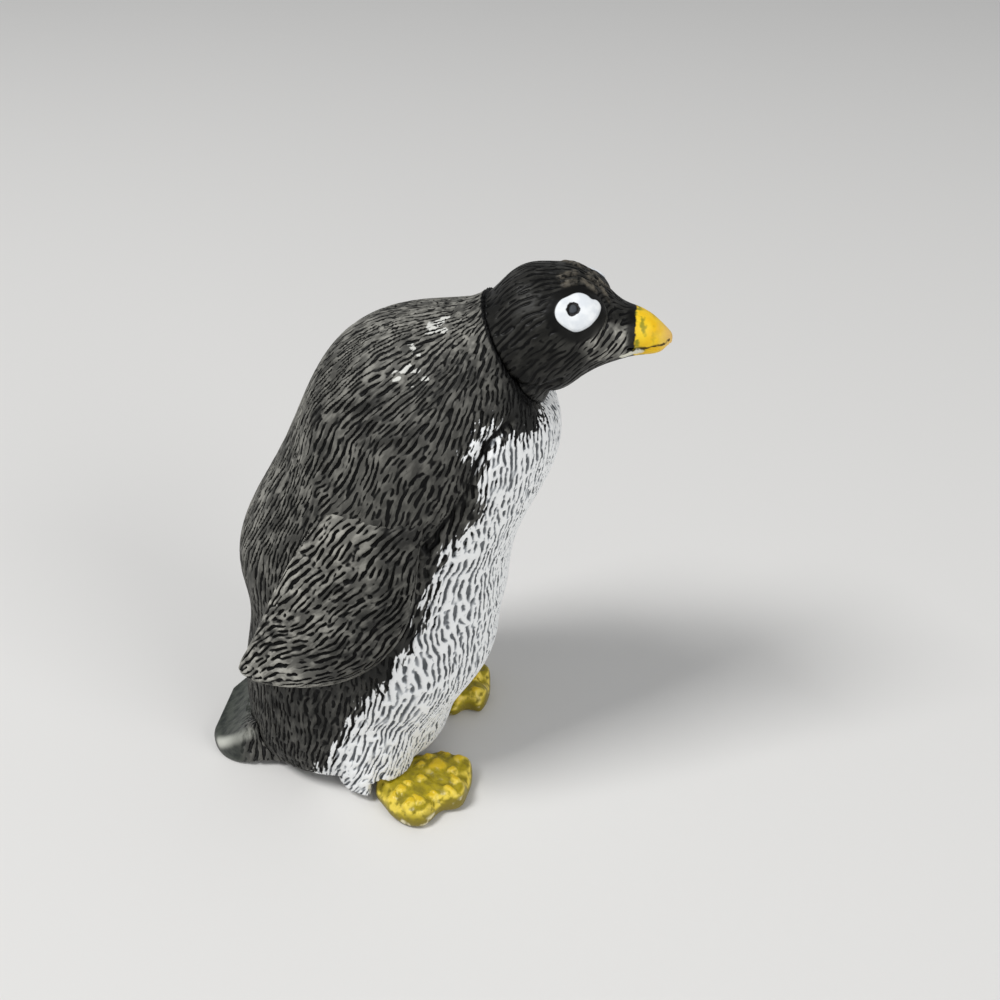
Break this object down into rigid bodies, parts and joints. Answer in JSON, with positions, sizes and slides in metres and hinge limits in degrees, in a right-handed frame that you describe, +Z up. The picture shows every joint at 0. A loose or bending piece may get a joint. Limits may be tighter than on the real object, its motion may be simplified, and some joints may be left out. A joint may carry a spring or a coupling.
{
  "type": "penguin figurine",
  "caption": "Small standing penguin figurine with folded flippers, webbed feet, a stub tail and a head that turns on a snap neck.",
  "frame": {"origin": "on the ground under the middle of the figurine's box", "axes": "+Z up; -Y the way the bird faces; +X towards its left side"},
  "size_m": [0.0258, 0.0422, 0.0505],
  "materials": {
    "body_plumage": "carved feather strokes, dark grey paint with a white painted belly, dry-brushed",
    "head_plumage": "satin near-black paint, white eye with a black pupil, yellow-orange beak",
    "flipper_plumage": "carved feather strokes, dark grey paint, pale dry-brushed rear edge and tip",
    "foot_paint": "yellow paint with an olive-brown wash in the hollows",
    "tail_paint": "smooth dark grey paint, rubbed pale on its edges"
  },
  "bodies": {
    "torso": {"body": "body_plumage", "right_flipper": "flipper_plumage", "left_flipper": "flipper_plumage", "right_foot": "foot_paint", "left_foot": "foot_paint", "tail": "tail_paint"},
    "head": {"head": "head_plumage"}
  },
  "joints": [
    {"name": "head_turn", "type": "hinge", "parent": "torso", "child": "head", "pos_m": [0, -0.00852, 0.04338], "axis": [0, -0.866, 0.5], "range_deg": [-30, 30]}
  ]
}
